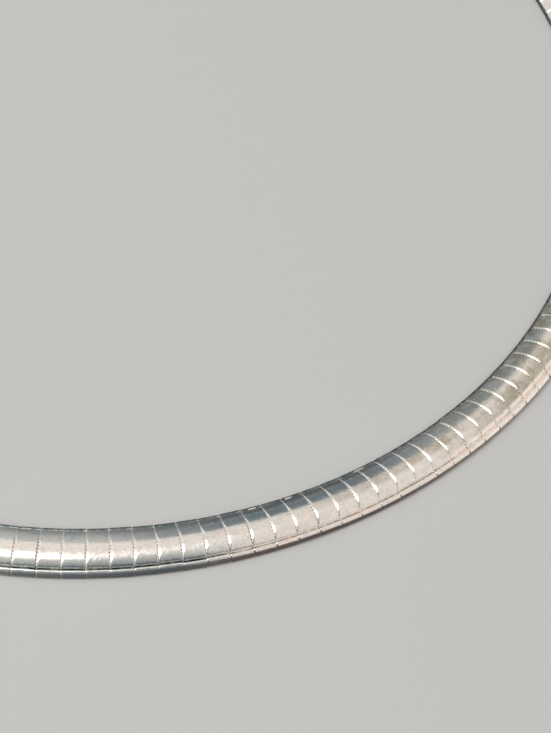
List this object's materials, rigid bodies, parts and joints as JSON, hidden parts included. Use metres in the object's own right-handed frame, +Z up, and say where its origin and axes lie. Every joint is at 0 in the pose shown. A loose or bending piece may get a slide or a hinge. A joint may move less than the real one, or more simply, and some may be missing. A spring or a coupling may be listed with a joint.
{
  "type": "omega chain necklace",
  "caption": "Collar necklace that lies flat in a circle: domed silver plates crimped side by side over a woven core, closed by a box clasp.",
  "frame": {"origin": "centre of the loop, on the surface that the necklace lies on", "axes": "+Z up out of the surface, -Y towards the front of the necklace, +Y towards the clasp"},
  "size_m": [0.1514, 0.1514, 0.0023],
  "materials": {
    "plates": "polished silver, lightly scratched and tarnished",
    "core": "woven silver wire, dull in its hollows",
    "clasp": "polished silver"
  },
  "bodies": {
    "root": {"plates": "plates", "core": "core", "clasp": "clasp"}
  },
  "joints": []
}
